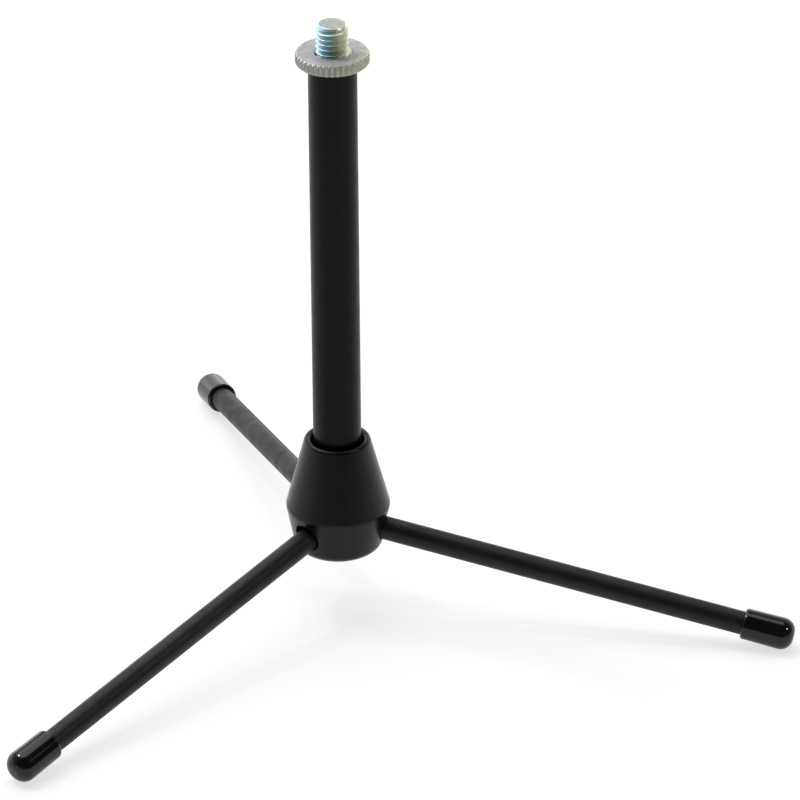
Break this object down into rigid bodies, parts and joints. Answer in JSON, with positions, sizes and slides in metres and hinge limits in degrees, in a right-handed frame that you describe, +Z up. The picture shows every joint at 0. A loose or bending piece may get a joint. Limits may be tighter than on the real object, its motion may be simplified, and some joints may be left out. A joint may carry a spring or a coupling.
{
  "type": "desktop microphone stand",
  "caption": "Low desktop microphone stand: upright tube with a threaded stud and knurled lock ring, on a hub with three screw-in legs and soft foot caps.",
  "frame": {"origin": "on the column's axis, at the floor the foot caps stand on", "axes": "+Z up along the column; +Y over the back leg; the other two legs lie 120 degrees either side of it"},
  "size_m": [0.2396, 0.2087, 0.1904],
  "materials": {
    "black_powder_coat": "satin",
    "black_leg_paint": "satin",
    "black_casting": "matte",
    "black_moulding": "satin",
    "black_cap": "smooth, slightly glossy",
    "zinc_plate": "clear-passivated zinc plate",
    "plain_steel": "plain"
  },
  "bodies": {
    "stand": {"column_tube": "black_powder_coat", "thread_stud": "zinc_plate", "tube_plug": "plain_steel", "hub_shell": "black_moulding", "hub_core": "black_casting", "bottom_plate": "black_moulding", "clamp_screw": "plain_steel", "spring_washer": "plain_steel"},
    "lock_ring": {"lock_ring": "zinc_plate"},
    "leg_front_left": {"leg_front_left": "black_leg_paint", "foot_cap_front_left": "black_cap"},
    "leg_front_right": {"leg_front_right": "black_leg_paint", "foot_cap_front_right": "black_cap"},
    "leg_back": {"leg_back": "black_leg_paint", "foot_cap_back": "black_cap"}
  },
  "joints": [
    {"name": "lock_ring_height", "type": "slide", "parent": "stand", "child": "lock_ring", "axis": [0, 0, 1], "range_m": [0, 0.0087]},
    {"name": "leg_unscrew_front_left", "type": "slide", "parent": "stand", "child": "leg_front_left", "axis": [-0.851, -0.4913, -0.1857], "range_m": [0, 0.0065]},
    {"name": "leg_unscrew_front_right", "type": "slide", "parent": "stand", "child": "leg_front_right", "axis": [0.851, -0.4913, -0.1857], "range_m": [0, 0.0065]},
    {"name": "leg_unscrew_back", "type": "slide", "parent": "stand", "child": "leg_back", "axis": [0, 0.9826, -0.1857], "range_m": [0, 0.0065]}
  ]
}
